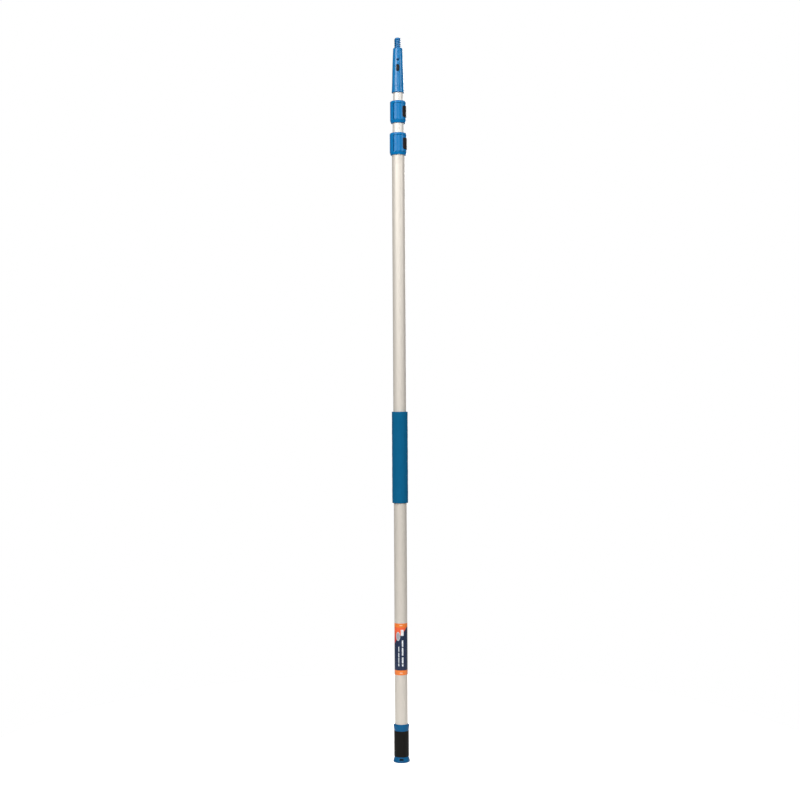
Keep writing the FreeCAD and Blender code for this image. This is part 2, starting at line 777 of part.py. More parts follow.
def thread_groove():
    """The ridge of one thread space, swept up a helix and cut from the tip."""
    root = "(thread_radius - thread_depth)"
    opening = "(thread_root_flat / 2 + (thread_depth + thread_cutter_reach) * tan(thread_flank_angle))"
    helix = DOC.addObject("Part::Helix", "thread_helix")
    bind(helix, Pitch="thread_pitch", Height="thread_length + nose_height", Radius=root)
    profile = DOC.addObject("Sketcher::SketchObject", "thread_profile")
    profile.Placement = FreeCAD.Placement(Vector(), Rotation(Vector(1, 0, 0), 90))
    outline(profile, [
        (root, "-thread_root_flat / 2"),
        ("thread_radius + thread_cutter_reach", f"-{opening}"),
        ("thread_radius + thread_cutter_reach", opening),
        (root, "thread_root_flat / 2"),
    ])
    groove = DOC.addObject("Part::Sweep", "thread_sweep")
    groove.Sections = [profile]
    DOC.recompute()
    groove.Spine = (helix, [f"Edge{i}" for i in range(1, len(helix.Shape.Edges) + 1)])
    groove.Solid = True
    groove.Frenet = True
    return place(group("thread_groove", groove), z="cone_length + thread_start + thread_root_flat")


def cone_bodies():
    socket = f"{INNER_RADIUS} + fit_gap"
    solid = revolved("cone_body", [
        (socket, "0"),
        (f"{CONE_BASE_RADIUS} - cone_base_chamfer", "0"),
        *cone_side("0"),
        ("0", "cone_length"),
        ("0", "cone_socket_depth + cavity_height"),
        ("cavity_radius", "cone_socket_depth + cavity_height"),
        ("cavity_radius", "cone_socket_depth"),
        (socket, "cone_socket_depth"),
    ])
    dress(solid, "Fillet", "cone_top_edge", circle_at("cone_top_radius", "cone_length"))
    tip = revolved("tip_body", [
        ("0", "cone_length - join_overlap"),
        ("thread_radius", "cone_length - join_overlap"),
        ("thread_radius", "cone_length + thread_length"),
        ("nose_radius", "cone_length + thread_length + nose_height"),
        ("0", "cone_length + thread_length + nose_height"),
    ])
    dress(tip, "Fillet", "cone_top_edge", circle_at("nose_radius", "cone_length + thread_length + nose_height"))
    return solid, tip


def locking_cone():
    solid, tip = cone_bodies()
    trimmed = with_flats(solid)
    threaded = cut("tip_threaded", tip, thread_groove())
    whole = fuse("cone_whole", fuse("cone_and_tip", trimmed, threaded), thumb_plate())

    slot = place(slot_prism("button_slot", "button_width + 2 * button_gap", "button_height + 2 * button_gap",
                            CONE_BASE_RADIUS), y=f"-{CONE_BASE_RADIUS} - cutter_reach", z="button_place")
    hole = cylinder("lock_hole", "lock_hole_radius", f"{CONE_BASE_RADIUS} + cutter_reach")
    hole.Placement = FreeCAD.Placement(Vector(), Rotation(Vector(1, 0, 0), 90))
    place(hole, y="-lock_hole_floor", z="lock_hole_place")
    cone = cut("cone_cut", whole, slot, hole)
    raised = place(group("cone_raised", cone), z=CONE)
    holes = cone_rivet_rods("cone_rivet_hole", "cone_rivet_radius + fit_gap", f"{INNER_RADIUS} / 2",
                            CONE_BASE_RADIUS)
    keep(cut("locking_cone_cut", raised, *holes), "locking_cone")


def cone_rivets():
    start = f"({INNER_RADIUS} - tube_wall - rivet_tail)"
    seat = f"({CONE_FLARE_RADIUS} + fit_gap)"
    shanks = cone_rivet_rods("cone_rivet_shank", "cone_rivet_radius", start,
                             f"{seat} - {start} + cone_rivet_head_height / 2")
    heads = cone_rivet_rods("cone_rivet_head", "cone_rivet_head_radius", seat, "cone_rivet_head_height")
    rivets = [fuse(f"cone_rivet{i}", *pair) for i, pair in enumerate(zip(shanks, heads), start=1)]
    keep(group("cone_rivet_pair", *rivets), "cone_rivets")


def lock_button():
    front = f"({waist_radius_at('button_place')} + button_stand)"
    stem = place(slot_prism("button_stem", "button_width", "button_height",
                            f"{front} - button_flange_place + button_flange_thickness / 2"), y=f"-{front}")
    face = number(f"-{front}")
    domed = rounded("button_domed", stem, "button_edge_radius",
                    lambda edge: abs(edge.BoundBox.YMin - face) < 0.001 and edge.BoundBox.YLength < 0.001)
    flange = place(slot_prism("button_flange", "button_width + 2 * button_flange_margin",
                              "button_height + 2 * button_flange_margin", "button_flange_thickness"),
                   y="-button_flange_place")
    button = fuse("button_solid", domed, flange)
    keep(place(group("button_placed", button), z=f"{CONE} + button_place"), "lock_button")

    helix = DOC.addObject("Part::Helix", "spring_helix")
    helix.SegmentLength = TURNS_PER_SWEEP
    front_end = "(button_flange_thickness - button_flange_place + glue_gap + spring_wire_radius)"
    length = f"(spring_rear - {front_end})"
    bind(helix, Pitch=f"{length} / spring_turns", Height=length, Radius="spring_radius")
    wire = DOC.addObject("Part::Circle", "spring_wire")
    bind(wire, Radius="spring_wire_radius")
    wire.Placement = FreeCAD.Placement(Vector(), Rotation(Vector(1, 0, 0), 90))
    place(wire, x="spring_radius")
    coil = DOC.addObject("Part::Sweep", "spring_sweep")
    coil.Sections = [wire]
    DOC.recompute()
    coil.Spine = (helix, [f"Edge{i}" for i in range(1, len(helix.Shape.Edges) + 1)])
    coil.Solid = True
    coil.Frenet = True
    laid = group("spring_laid", coil)
    laid.Placement = FreeCAD.Placement(Vector(), Rotation(Vector(1, 0, 0), -90))
    place(laid, y=front_end)
    keep(place(group("spring_placed", laid), z=f"{CONE} + button_place"), "button_spring")


# --- Build, check and export -------------------------------------------------------------------


def fill_sheet():
    for row, (alias, size) in enumerate(SIZES.items(), start=1):
        SHEET.set(f"A{row}", alias.replace("_", " "))
        SHEET.set(f"B{row}", str(size))
        SHEET.setAlias(f"B{row}", alias)
    DOC.recompute()


def export():
    DOC.recompute()
    failed = [item.Name for item in DOC.Objects if {"Invalid", "Error"} & set(item.State)]
    if failed:
        raise RuntimeError(f"failed objects: {failed}")
    for thing in sub_parts:
        if thing.Shape.isNull() or not thing.Shape.isValid() or not thing.Shape.Solids:
            raise RuntimeError(f"bad shape: {thing.Label}")
    os.makedirs("parts", exist_ok=True)
    for thing in sub_parts:
        thing.Shape.exportStep(f"parts/{thing.Label}.step")
        size = thing.Shape.optimalBoundingBox(False)
        print(f"{thing.Label}: {len(thing.Shape.Solids)} solid, {size.XLength:.1f} x {size.YLength:.1f}"
              f" x {size.ZLength:.1f} mm, z from {size.ZMin:.2f}, {thing.Shape.Volume / 1000:.2f} cm3")


fill_sheet()
gauge = DOC.addObject("App::FeaturePython", "Gauge")
gauge.addProperty("App::PropertyFloat", "Reading")
end_cap()
outer_tube()
sleeves()
Collar("lower", OUTER_RADIUS, MIDDLE_RADIUS, LOWER_COLLAR).build()
middle_section()
Collar("upper", MIDDLE_RADIUS, INNER_RADIUS, UPPER_COLLAR).build()
inner_section()
locking_cone()
cone_rivets()
lock_button()
export()
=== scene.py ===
"""Looks of the three-section cleaning pole: lever clamps, foam and rubber grips, threaded locking cone."""
import json
import math

import bmesh
import bpy
from mathutils import Matrix, Vector


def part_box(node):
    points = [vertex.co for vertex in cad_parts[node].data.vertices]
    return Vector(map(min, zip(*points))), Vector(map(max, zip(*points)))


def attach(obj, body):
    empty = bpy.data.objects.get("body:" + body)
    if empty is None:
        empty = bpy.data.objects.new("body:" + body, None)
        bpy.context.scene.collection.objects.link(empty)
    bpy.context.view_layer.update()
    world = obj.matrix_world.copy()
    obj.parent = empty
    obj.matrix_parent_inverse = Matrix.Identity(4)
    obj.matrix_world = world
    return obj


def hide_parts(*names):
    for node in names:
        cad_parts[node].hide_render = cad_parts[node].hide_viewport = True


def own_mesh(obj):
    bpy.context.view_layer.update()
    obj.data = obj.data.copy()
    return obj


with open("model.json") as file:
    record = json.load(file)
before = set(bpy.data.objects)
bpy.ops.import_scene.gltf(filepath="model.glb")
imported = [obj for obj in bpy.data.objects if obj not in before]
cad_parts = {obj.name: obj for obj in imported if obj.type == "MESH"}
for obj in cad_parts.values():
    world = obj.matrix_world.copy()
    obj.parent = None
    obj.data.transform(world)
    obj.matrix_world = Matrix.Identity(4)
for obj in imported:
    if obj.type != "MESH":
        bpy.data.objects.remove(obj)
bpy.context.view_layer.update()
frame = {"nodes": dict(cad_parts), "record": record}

MM = 0.001
TUBE_WALL = 1.2
GRIP_BORE = 18.05
LABEL_BORE = 18.02
THREAD_FOOT, THREAD_TOP = 2010.1, 2040.0
THREAD_ROOT, THREAD_CREST, THREAD_PITCH = 6.925, 9.525, 5.08
WELD = 2e-6             # corners nearer than this are one corner
ROUND_MATCH = 6e-6      # how near a corner has to be to a round face's own radius
FLAT_AREA = 60e-6       # a plane with at least this area is kept flat
BODY_OF = {node: body for body, nodes in frame["record"]["behaviour"]["bodies"].items() for node in nodes}


# --- Finishes -------------------------------------------------------------------------------------


def shaded(colour, share, lift=0.0):
    """A darker or paler share of a colour, lifted towards grey."""
    return tuple(share * part + lift for part in colour[:3]) + (1.0,)


def paint(red, green, blue):
    """A colour given as 0 to 255 steps on a screen, as light."""
    steps = [step / 255 for step in (red, green, blue)]
    return tuple(s / 12.92 if s < 0.04 else ((s + 0.055) / 1.055) ** 2.4 for s in steps) + (1.0,)


class Amount:
    """A value in a finish's nodes, so that sums on it are written plainly."""

    def __init__(self, finish, socket):
        self.finish, self.socket = finish, socket

    def sum(self, operation, first, second):
        return self.finish.node("ShaderNodeMath", {"operation": operation}, {0: first, 1: second})

    def __add__(self, other):
        return self.sum("ADD", self, other)

    def __radd__(self, other):
        return self.sum("ADD", other, self)

    def __sub__(self, other):
        return self.sum("SUBTRACT", self, other)

    def __rsub__(self, other):
        return self.sum("SUBTRACT", other, self)

    def __mul__(self, other):
        return self.sum("MULTIPLY", self, other)

    def __rmul__(self, other):
        return self.sum("MULTIPLY", other, self)

    def __truediv__(self, other):
        return self.sum("DIVIDE", self, other)

    def __pow__(self, other):
        return self.sum("POWER", self, other)

    def __abs__(self):
        return self.sum("ABSOLUTE", self, 0.0)

    def most(self, other):
        return self.sum("MAXIMUM", self, other)


class Finish:
    """One procedural material. Patterns read Object coordinates, which are metres on the pole."""

    def __init__(self, name, **constants):
        self.material = bpy.data.materials.new(name)
        self.material.use_nodes = True
        self.tree = self.material.node_tree
        self.shader = self.tree.nodes["Principled BSDF"]
        for socket, value in constants.items():
            self.shader.inputs[socket.replace("_", " ")].default_value = value
        self.where = self.node("ShaderNodeTexCoord", {}, {}, "Object")

    def node(self, kind, settings, inputs, output=0):
        made = self.tree.nodes.new(kind)
        stops = settings.pop("stops", None)
        for setting, value in settings.items():
            setattr(made, setting, value)
        if stops:
            for extra in range(len(stops) - 2):
                made.color_ramp.elements.new(0.5)
            for element, (place, colour) in zip(made.color_ramp.elements, stops):
                element.position, element.color = place, colour
        for socket, value in inputs.items():
            self.feed(made.inputs[socket], value)
        return Amount(self, made.outputs[output])

    def feed(self, socket, value):
        if isinstance(value, Amount):
            self.tree.links.new(value.socket, socket)
        else:
            socket.default_value = value

    def set(self, socket, value):
        self.feed(self.shader.inputs[socket], value)

    def noise(self, scale, detail=2.0, stretch=(1, 1, 1)):
        where = self.node("ShaderNodeMapping", {}, {"Vector": self.where, "Scale": stretch})
        return self.node("ShaderNodeTexNoise", {}, {"Vector": where, "Scale": scale, "Detail": detail}, "Fac")

    def cells(self, scale):
        return self.node("ShaderNodeTexVoronoi", {}, {"Vector": self.where, "Scale": scale}, "Distance")

    def split(self):
        """How far along X, Y and Z a point is."""
        return [self.node("ShaderNodeSeparateXYZ", {}, {"Vector": self.where}, axis) for axis in "XYZ"]

    def between(self, value, low, high, first=0.0, last=1.0):
        """first where value is low, last where it is high, with a soft step between."""
        return self.node("ShaderNodeMapRange", {"interpolation_type": "SMOOTHSTEP"},
                         {"Value": value, "From Min": low, "From Max": high, "To Min": first, "To Max": last})

    def mixed(self, share, first, second):
        """The first colour where share is 0 and the second where it is 1."""
        return self.node("ShaderNodeMix", {"data_type": "RGBA"}, {"Factor": share, 6: first, 7: second}, 2)

    def bump(self, height, strength, depth, under=None):
        inputs = {"Height": height, "Strength": strength, "Distance": depth}
        if under is not None:
            inputs["Normal"] = under
        return self.node("ShaderNodeBump", {}, inputs)


def edge_wear(finish, radius):
    """Normals eased over a piece's edges, and how worn each point is: 1 on an edge, 0 away from it."""
    eased = finish.node("ShaderNodeBevel", {"samples": 8}, {"Radius": radius})
    own = finish.node("ShaderNodeNewGeometry", {}, {}, "Normal")
    square = finish.node("ShaderNodeVectorMath", {"operation": "DOT_PRODUCT"}, {0: eased, 1: own}, "Value")
    return eased, finish.between(square, 0.82, 0.985, 1.0, 0.0)


def tube_finish(name, colour, drift):
    """Satin aluminium: drawing lines along the tube, faint handling marks and a soft sheen."""
    finish = Finish(name, Metallic=0.3, IOR=1.45)
    lines = finish.noise(70.0, 3.0, (9.0, 9.0, 0.05 + drift))
    fine = finish.noise(420.0, 2.0, (4.0, 4.0, 0.02))
    marks = finish.between(finish.noise(14.0, 4.0, (1.0, 1.0, 0.5)), 0.52, 0.72)
    shade = finish.mixed(lines * 0.45, colour, shaded(colour, 0.9))
    shade = finish.mixed(marks * 0.18, shade, shaded(colour, 0.82))
    finish.set("Base Color", shade)
    finish.set("Roughness", 0.46 + fine * 0.09 + marks * 0.06)
    finish.set("Normal", finish.bump(fine + lines, 0.1, 0.0004))
    return finish.material


def plastic_finish(name, colour, gloss, grain, depth, shine=1.27):
    """Moulded plastic: a fine tooled grain, slightly cloudy colour and paler rubbed patches."""
    finish = Finish(name, IOR=shine)
    cloud = finish.noise(26.0, 3.0)
    rubbed = finish.between(finish.noise(90.0, 5.0, (1, 1, 0.6)), 0.58, 0.8)
    eased, worn = edge_wear(finish, 0.0006)
    shade = finish.mixed(cloud * 0.7, colour, shaded(colour, 0.86))
    shade = finish.mixed(rubbed * 0.35, shade, shaded(colour, 0.95, 0.012))
    finish.set("Base Color", finish.mixed(worn * 0.4, shade, shaded(colour, 1.2, 0.03)))
    finish.set("Roughness", gloss + cloud * 0.08 + rubbed * 0.1 + worn * 0.06)
    tooled = finish.noise(grain, 2.0)
    finish.set("Normal", finish.bump(tooled, 0.28, depth, eased))
    return finish.material


def rubber_finish(name, colour):
    """Matt black rubber with a pebbled skin and a little dust in the hollows."""
    finish = Finish(name, IOR=1.22)
    pebble = finish.cells(1700.0)
    dust = finish.between(finish.noise(40.0, 4.0), 0.5, 0.75)
    finish.set("Base Color", finish.mixed(dust * 0.3, colour, shaded(colour, 1.6, 0.006)))
    finish.set("Roughness", 0.52 + dust * 0.15)
    finish.set("Normal", finish.bump(pebble, 0.3, 0.00025))
    return finish.material


def foam_finish(name, colour):
    """Closed-cell foam: small cells, open hollows where the surface was cut, darkened with painted shade, no gloss."""
    finish = Finish(name, IOR=1.2)
    cell = finish.cells(720.0)
    pits_with_painted_shade = finish.between(finish.noise(900.0, 2.0), 0.6, 0.72)
    cloud = finish.noise(32.0, 3.0)
    shade = finish.mixed(cloud * 0.6, colour, shaded(colour, 1.15, 0.006))
    # Painted shade: the pits' colour is darkened to stand in for the shade inside them.
    finish.set("Base Color", finish.mixed(pits_with_painted_shade * 0.55, shade, shaded(colour, 0.55)))
    finish.set("Roughness", 0.86 + cloud * 0.1)
    finish.set("Normal", finish.bump(cell - pits_with_painted_shade * 0.8, 0.5, 0.0005))
    return finish.material


def steel_finish(name):
    """Bright zinc-plated steel with fine turning marks."""
    finish = Finish(name, Metallic=1.0)
    marks = finish.noise(900.0, 3.0, (1, 1, 0.2))
    finish.set("Base Color", finish.mixed(marks * 0.5, paint(186, 186, 184), paint(140, 140, 138)))
    finish.set("Roughness", 0.26 + marks * 0.16)
    finish.set("Normal", finish.bump(marks, 0.1, 0.0002))
    return finish.material


def label_finish(name, bottom, top, radius):
    """A printed film: orange end bands, a dark blue panel, a bare oval and plain pale bars."""
    finish = Finish(name, IOR=1.48, Coat_Weight=0.2, Coat_Roughness=0.18)
    across, along_depth, height = finish.split()
    turn = finish.node("ShaderNodeMath", {"operation": "ARCTAN2"}, {0: across, 1: 0.0 - along_depth})
    side = turn * radius
    speck = finish.noise(1500.0, 2.0)
    edge = 0.0002

    def bar(middle, level, half_width, half_length):
        away = (abs(side - middle) - half_width).most(abs(height - level) - half_length)
        return finish.between(away, -edge, edge, 1.0, 0.0)

    orange = paint(226, 118, 44)
    panel = finish.mixed(speck * 0.25, paint(12, 32, 62), paint(20, 44, 76))
    slope = (height - (top - 0.036)) - (side + 0.004) * 1.1
    corner = finish.between(slope, -edge, edge)
    shade = finish.mixed(corner, panel, finish.mixed(finish.between(height, top - 0.045, top - 0.02),
                                                     paint(196, 52, 40), paint(228, 92, 50)))
    oval_side, oval_level, oval_width, oval_length = -0.0085, top - 0.036, 0.0062, 0.0125
    oval = ((side - oval_side) / oval_width) ** 2.0 + ((height - oval_level) / oval_length) ** 2.0
    shade = finish.mixed(finish.between(oval, 0.94, 1.06, 1.0, 0.0), shade, paint(196, 198, 202))
    shade = finish.mixed(finish.between(oval, 0.62, 0.74, 1.0, 0.0), shade, paint(150, 154, 162))
    print_share = bar(0.0035, top - 0.026, 0.0042, 0.0085)
    for middle, half_width, lengths in ((0.0045, 0.0021, ((56, 9), (79, 11), (103, 8.5), (117, 3))),
                                        (-0.0065, 0.0012, ((72, 7), (88, 6), (103, 7), (116, 4)))):
        for level, half in lengths:
            print_share = print_share.most(bar(middle, top - level * MM, half_width, half * MM))
    shade = finish.mixed(print_share * 0.9, shade, paint(222, 226, 230))
    bands = finish.between(height, top - 0.0112, top - 0.0108).most(
        finish.between(height, bottom + 0.0133, bottom + 0.0137, 1.0, 0.0))
    shade = finish.mixed(bands, shade, orange)
    tiny = bar(0.0, top - 0.0052, 0.0042, 0.0011).most(bar(0.0, bottom + 0.0062, 0.0042, 0.0011))
    shade = finish.mixed(tiny * 0.7, shade, paint(240, 214, 190))
    finish.set("Base Color", shade)
    scuff = finish.between(finish.noise(60.0, 5.0, (1, 1, 0.3)), 0.56, 0.74)
    finish.set("Roughness", 0.34 + scuff * 0.2)
    finish.set("Normal", finish.bump(finish.noise(240.0, 3.0), 0.05, 0.0003))
    return finish.material


def floor_finish():
    """Pale matt paper, which the camera sees as near white."""
    finish = Finish("pale floor")
    finish.set("Base Color", finish.mixed(finish.noise(3.0, 3.0), (0.9, 0.9, 0.9, 1), (0.93, 0.93, 0.93, 1)))
    finish.set("Roughness", 0.75)
    finish.set("Emission Color", (1, 1, 1, 1))
    finish.set("Emission Strength", finish.node("ShaderNodeLightPath", {}, {}, "Is Camera Ray") * 0.62)
    return finish.material


LABEL_LOW, LABEL_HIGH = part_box("label_sleeve")
FINISHES = {
    # Painted shade: the outer tube gets a darker copy of the middle and inner tubes' aluminium, standing in for the
    # dimmer light on the lower pole.
    "outer tube": ("tube_metal", tube_finish("satin outer tube with painted shade", paint(207, 200, 190), 0.0)),
    "middle tube": ("tube_metal", tube_finish("satin middle tube", paint(216, 211, 204), 0.01)),
    "inner tube": ("tube_metal", tube_finish("satin inner tube", paint(216, 211, 204), 0.02)),
    "collar": ("blue_plastic", plastic_finish("blue collar plastic", paint(0, 111, 172), 0.27, 1100.0, 0.00012)),
    "cone": ("cone_plastic", plastic_finish("light blue cone plastic", paint(0, 110, 168), 0.22, 900.0, 0.0001, 1.42)),
    # Painted shade: the cap and grip ring get a darker copy of the collar blue, standing in for the dimmer light at the
    # foot of the pole.
    "cap": ("blue_plastic", plastic_finish("blue cap plastic with painted shade", paint(0, 84, 130), 0.36, 1200.0, 0.00015)),
    "grip": ("black_rubber", rubber_finish("black grip rubber", (0.006, 0.0055, 0.0045, 1))),
    "pad": ("black_rubber", rubber_finish("black pad rubber", (0.014, 0.009, 0.008, 1))),
    "foam": ("blue_foam", foam_finish("blue grip foam", paint(0, 85, 124))),
    "guide": ("guide_plastic", plastic_finish("pale guide plastic", paint(206, 206, 200), 0.4, 1000.0, 0.0001)),
    "button": ("black_plastic", plastic_finish("dark button plastic", paint(6, 10, 20), 0.3, 1000.0, 0.0001)),
    "steel": ("steel", steel_finish("plated steel")),
    "label": ("label_film", label_finish("printed label film", LABEL_LOW.z, LABEL_HIGH.z, LABEL_HIGH.x)),
}


# --- Ways of making -------------------------------------------------------------------------------


def only(piece):
    """Selects one piece and nothing else."""
    bpy.ops.object.select_all(action="DESELECT")
    piece.select_set(True)
    bpy.context.view_layer.objects.active = piece


def fitted(piece, node, finish, turn=30):
    """Smooths a piece's shading, finishes it and puts it in place of a CAD node."""
    only(piece)
    bpy.ops.object.shade_smooth_by_angle(angle=math.radians(turn))
    true_normals(piece)
    finished(piece, finish, BODY_OF[node])
    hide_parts(node)
    return piece


def finished(piece, finish, body):
    """Gives a piece its finish and the body that it moves with."""
    slot, material = FINISHES[finish]
    piece.data.materials.clear()
    piece.data.materials.append(material)
    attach(piece, body)


def spun(name, corners, steps=128):
    """A ring spun round the pole from a section given as (radius, height, rounding) in millimetres."""
    bpy.ops.object.select_all(action="DESELECT")
    bpy.ops.mesh.primitive_circle_add(vertices=len(corners), fill_type="NGON")
    piece = bpy.context.object
    piece.name = name
    for vertex, (radius, height, rounding) in zip(piece.data.vertices, corners):
        vertex.co = (radius * MM, 0, height * MM)
    bpy.ops.object.mode_set(mode="EDIT")
    for rounding in sorted({corner[2] for corner in corners if corner[2]}):
        bpy.ops.mesh.select_mode(type="VERT")
        bpy.ops.mesh.select_all(action="DESELECT")
        shape = bmesh.from_edit_mesh(piece.data)
        for radius, height, own in corners:
            place = Vector((radius * MM, 0, height * MM))
            for vertex in shape.verts:
                if own == rounding and (vertex.co - place).length < 1e-6:
                    vertex.select = True
        bmesh.update_edit_mesh(piece.data)
        bpy.ops.mesh.bevel(offset=rounding * MM, segments=4, affect="VERTICES")
    bpy.ops.mesh.select_all(action="SELECT")
    bpy.ops.mesh.delete(type="ONLY_FACE")
    bpy.ops.mesh.select_all(action="SELECT")
    bpy.ops.mesh.spin(steps=steps, angle=2 * math.pi, center=(0, 0, 0), axis=(0, 0, 1))
    bpy.ops.mesh.select_all(action="SELECT")
    bpy.ops.mesh.remove_doubles(threshold=1e-6)
    bpy.ops.mesh.normals_make_consistent(inside=False)
    bpy.ops.object.mode_set(mode="OBJECT")
    return piece


def moulded(node, name, cones=(), bore=()):
    """A welded copy of a CAD node, with the true normals of its round and flat faces.

    Cylinders about the pole are found by themselves; cones are given as (radius, height, radius, height),
    and a bore across the pole, front to back, as (radius, height)."""
    piece = bpy.data.objects.new(name, frame["nodes"][node].data.copy())
    bpy.context.scene.collection.objects.link(piece)
    only(piece)
    bpy.ops.object.mode_set(mode="EDIT")
    bpy.ops.mesh.select_all(action="SELECT")
    bpy.ops.mesh.remove_doubles(threshold=WELD)
    bpy.ops.object.mode_set(mode="OBJECT")
    piece["cones"] = [value * MM for cone in cones for value in cone]
    piece["bore"] = [value * MM for value in bore]
    return piece


def slope_of(corners, cones):
    """How far a round face leans: rise over run of its normal, or None when it isn't round about the pole."""
    reach = [math.hypot(corner.x, corner.y) for corner in corners]
    if max(reach) - min(reach) < 5e-6:
        return 0.0
    for low_radius, low, high_radius, high in cones:
        slope = (low_radius - high_radius) / (high - low)
        if all(abs(low_radius - slope * (corner.z - low) - radius) < ROUND_MATCH
               for corner, radius in zip(corners, reach)):
            return slope
    return None


def true_normals(piece):
    """Sets the normals of round faces from the round itself, and keeps large flat faces flat."""
    mesh = piece.data
    values = list(piece.get("cones", []))
    cones = [values[start:start + 4] for start in range(0, len(values), 4)]
    bore = list(piece.get("bore", []))
    planes = {}
    keys = []
    for face in mesh.polygons:
        key = tuple(round(part * 4000) for part in face.normal) + (round(face.normal.dot(face.center) * 40000),)
        keys.append(key)
        planes[key] = planes.get(key, 0.0) + face.area
    normals = []
    for face, key in zip(mesh.polygons, keys):
        corners = [mesh.vertices[index].co for index in face.vertices]
        slope = slope_of(corners, cones)
        bored = bool(bore) and all(abs(math.hypot(corner.x, corner.z - bore[1]) - bore[0]) < ROUND_MATCH
                                   for corner in corners)
        for corner in corners:
            if bored and abs(face.normal.y) < 0.1:
                normals.append(tuple(Vector((-corner.x, 0, bore[1] - corner.z)).normalized()))
                continue
            normal = Vector()
            if slope is not None:
                normal = Vector((corner.x, corner.y, slope * math.hypot(corner.x, corner.y))).normalized()
                normal = normal if normal.dot(face.normal) > 0 else -normal
                if normal.dot(face.normal) < 0.94:
                    normal = Vector()
            if normal.length == 0 and planes[key] > FLAT_AREA:
                normal = face.normal
            normals.append(tuple(normal))
    mesh.normals_split_custom_set(normals)


# --- Tubes ----------------------------------------------------------------------------------------


for part in ("outer", "middle", "inner"):
    low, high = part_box(f"{part}_tube")
    radius, bottom, top = high.x / MM, low.z / MM, high.z / MM
    fitted(spun(f"{part}_tube_satin", [(radius - TUBE_WALL, bottom, 0.25), (radius, bottom, 0.35),
                                       (radius, top, 0.35), (radius - TUBE_WALL, top, 0.25)]),
           f"{part}_tube", f"{part} tube")


# --- Grips ----------------------------------------------------------------------------------------


def foam_grip():
    """The foam sleeve, with the slight dents that a hand leaves along it."""
    low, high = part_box("foam_grip")
    radius, bottom, top = high.x / MM, low.z / MM, high.z / MM
    rows = 60
    heights = [bottom + (top - bottom) * row / rows for row in range(rows + 1)]
    section = [(GRIP_BORE, bottom, 0.4)]
    section += [(radius, height, 1.4 if height in (bottom, top) else 0.0) for height in heights]
    section.append((GRIP_BORE, top, 0.4))
    piece = spun("foam_grip_sleeve", section, 96)
    for vertex in piece.data.vertices:
        reach = math.hypot(vertex.co.x, vertex.co.y)
        if reach > (radius - 1.0) * MM:
            turn = math.atan2(vertex.co.y, vertex.co.x)
            height = vertex.co.z / MM
            dent = 0.1 * math.sin(height * 0.11 + 2.0 * turn) + 0.08 * math.sin(height * 0.31 - 3.0 * turn)
            dent = -0.2 + dent
            vertex.co.x *= 1 + dent * MM / reach
            vertex.co.y *= 1 + dent * MM / reach
    fitted(piece, "foam_grip", "foam", 50)


foam_grip()

low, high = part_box("rubber_grip")
fitted(spun("rubber_grip_sleeve", [(GRIP_BORE, low.z / MM, 0.3), (high.x / MM, low.z / MM, 0.6),
                                   (high.x / MM, high.z / MM, 0.6), (GRIP_BORE, high.z / MM, 0.3)]),
       "rubber_grip", "grip")

low, high = LABEL_LOW, LABEL_HIGH
fitted(spun("printed_label", [(LABEL_BORE, low.z / MM, 0), (high.x / MM, low.z / MM, 0.1),
                              (high.x / MM, high.z / MM, 0.1), (LABEL_BORE, high.z / MM, 0)]),
       "label_sleeve", "label")

low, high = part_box("grip_ring")
bottom, top = low.z / MM, high.z / MM
fitted(spun("grip_ring_flared", [(GRIP_BORE, bottom, 0.2), (20.5, bottom, 0.4), (22.5, top - 3.5, 1.0),
                                 (18.5, top - 0.15, 0.2), (GRIP_BORE, top - 0.15, 0)]),
       "grip_ring", "cap")
fitted(moulded("end_cap", "end_cap_moulded", [(23.25, 3.6, 19.5, 16.0)]), "end_cap", "cap")


# --- Collars, levers and cone -----------------------------------------------------------------------


for side, radius, foot in (("lower", 24.0, 1709.0), ("upper", 22.55, 1799.0)):
    taper = [(radius - 2.4, foot, radius, foot + 7.0)]
    for part, finish in (("collar", "collar"), ("lever", "collar"), ("thumb_pad", "pad"), ("brake_shoe", "collar"),
                         ("slide_bush", "guide"), ("hinge_pin", "steel"), ("collar_screws", "steel")):
        fitted(moulded(f"{side}_{part}", f"{side}_{part}_moulded", taper), f"{side}_{part}", finish)


